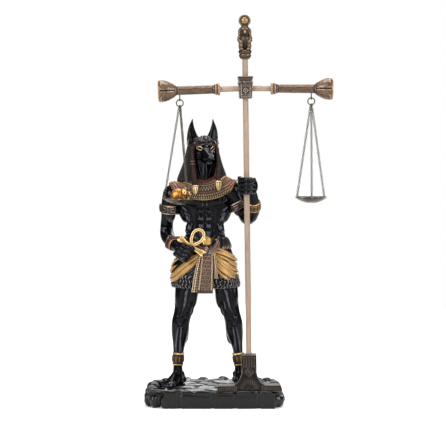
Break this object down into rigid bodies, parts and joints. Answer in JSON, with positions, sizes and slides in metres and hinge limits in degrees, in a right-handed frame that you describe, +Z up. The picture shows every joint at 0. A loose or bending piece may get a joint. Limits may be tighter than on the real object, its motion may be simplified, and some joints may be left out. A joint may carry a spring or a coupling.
{
  "type": "anubis statue",
  "caption": "Painted figurine of a standing jackal-headed god in kilt and collar, holding a wooden staff with a pan balance and a looped cross, on a flagstone plinth.",
  "frame": {"origin": "middle of the plinth's flat underside", "axes": "+Z up along the staff, -Y the way the figure faces, +X towards the right of someone who faces it"},
  "size_m": [0.1524, 0.0823, 0.3145],
  "materials": {
    "painted_black": "glossy black paint with grey dry-brushing",
    "painted_stone": "black paint with grey dry-brushed tops",
    "antique_bronze": "bronze paint, dark in the recesses and brushed lighter on the edges",
    "gold_paint": "satin gold paint with brown in the recesses",
    "pale_wood": "unvarnished pale hardwood",
    "chain_metal": "dull antique metal"
  },
  "bodies": {
    "root": {"plinth": "painted_stone", "anubis_figure": "painted_black", "staff_foot": "antique_bronze", "staff_dowel": "pale_wood", "finial_dowel": "pale_wood", "crosshead": "antique_bronze", "moon_baboon_finial": "antique_bronze", "golden_heart": "gold_paint", "beam_dowel_left": "pale_wood", "papyrus_column_left": "antique_bronze", "screw_eye_left": "chain_metal", "ring_left": "chain_metal", "scale_pan_left": "antique_bronze", "chain_left_1": "chain_metal", "chain_left_2": "chain_metal", "chain_left_3": "chain_metal", "beam_dowel_right": "pale_wood", "papyrus_column_right": "antique_bronze", "screw_eye_right": "chain_metal", "ring_right": "chain_metal", "scale_pan_right": "antique_bronze", "chain_right_1": "chain_metal", "chain_right_2": "chain_metal", "chain_right_3": "chain_metal"}
  },
  "joints": []
}
